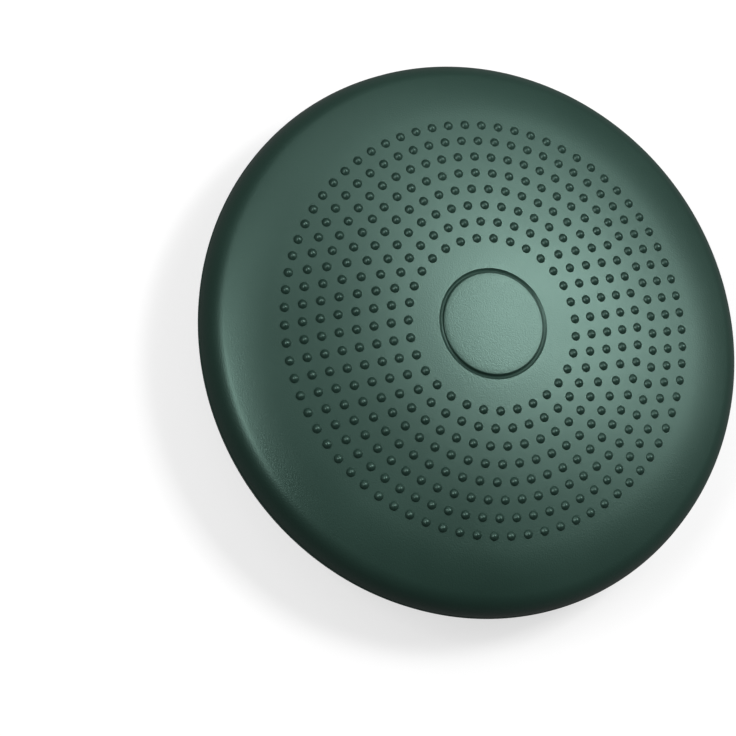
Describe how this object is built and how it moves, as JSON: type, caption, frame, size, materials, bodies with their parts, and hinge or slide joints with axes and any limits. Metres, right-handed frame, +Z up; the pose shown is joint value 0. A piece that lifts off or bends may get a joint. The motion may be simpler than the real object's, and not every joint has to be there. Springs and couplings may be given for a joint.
{
  "type": "balance pad",
  "caption": "Round air-filled PVC balance pad with a studded top, a spiked underside, a rolled rim and a needle valve.",
  "frame": {"origin": "on the floor under the pad's axis, at the flat that the middle spikes stand on", "axes": "+Z up along the pad's axis, studded face on top; +X towards the valve, which is in the underside"},
  "size_m": [0.3308, 0.3308, 0.0752],
  "materials": {
    "pvc_skin": "satin moulded PVC, dark green",
    "valve_rubber": "matt black rubber"
  },
  "bodies": {
    "base": {"lower_shell": "pvc_skin", "upper_shoulder": "pvc_skin", "valve_plug": "valve_rubber"},
    "top": {"upper_face": "pvc_skin"}
  },
  "joints": [
    {"name": "press", "type": "slide", "parent": "base", "child": "top", "axis": [0, 0, -1], "range_m": [0, 0.012], "stiffness_N_per_m": 40000, "deforming": ["upper_shoulder"]}
  ]
}
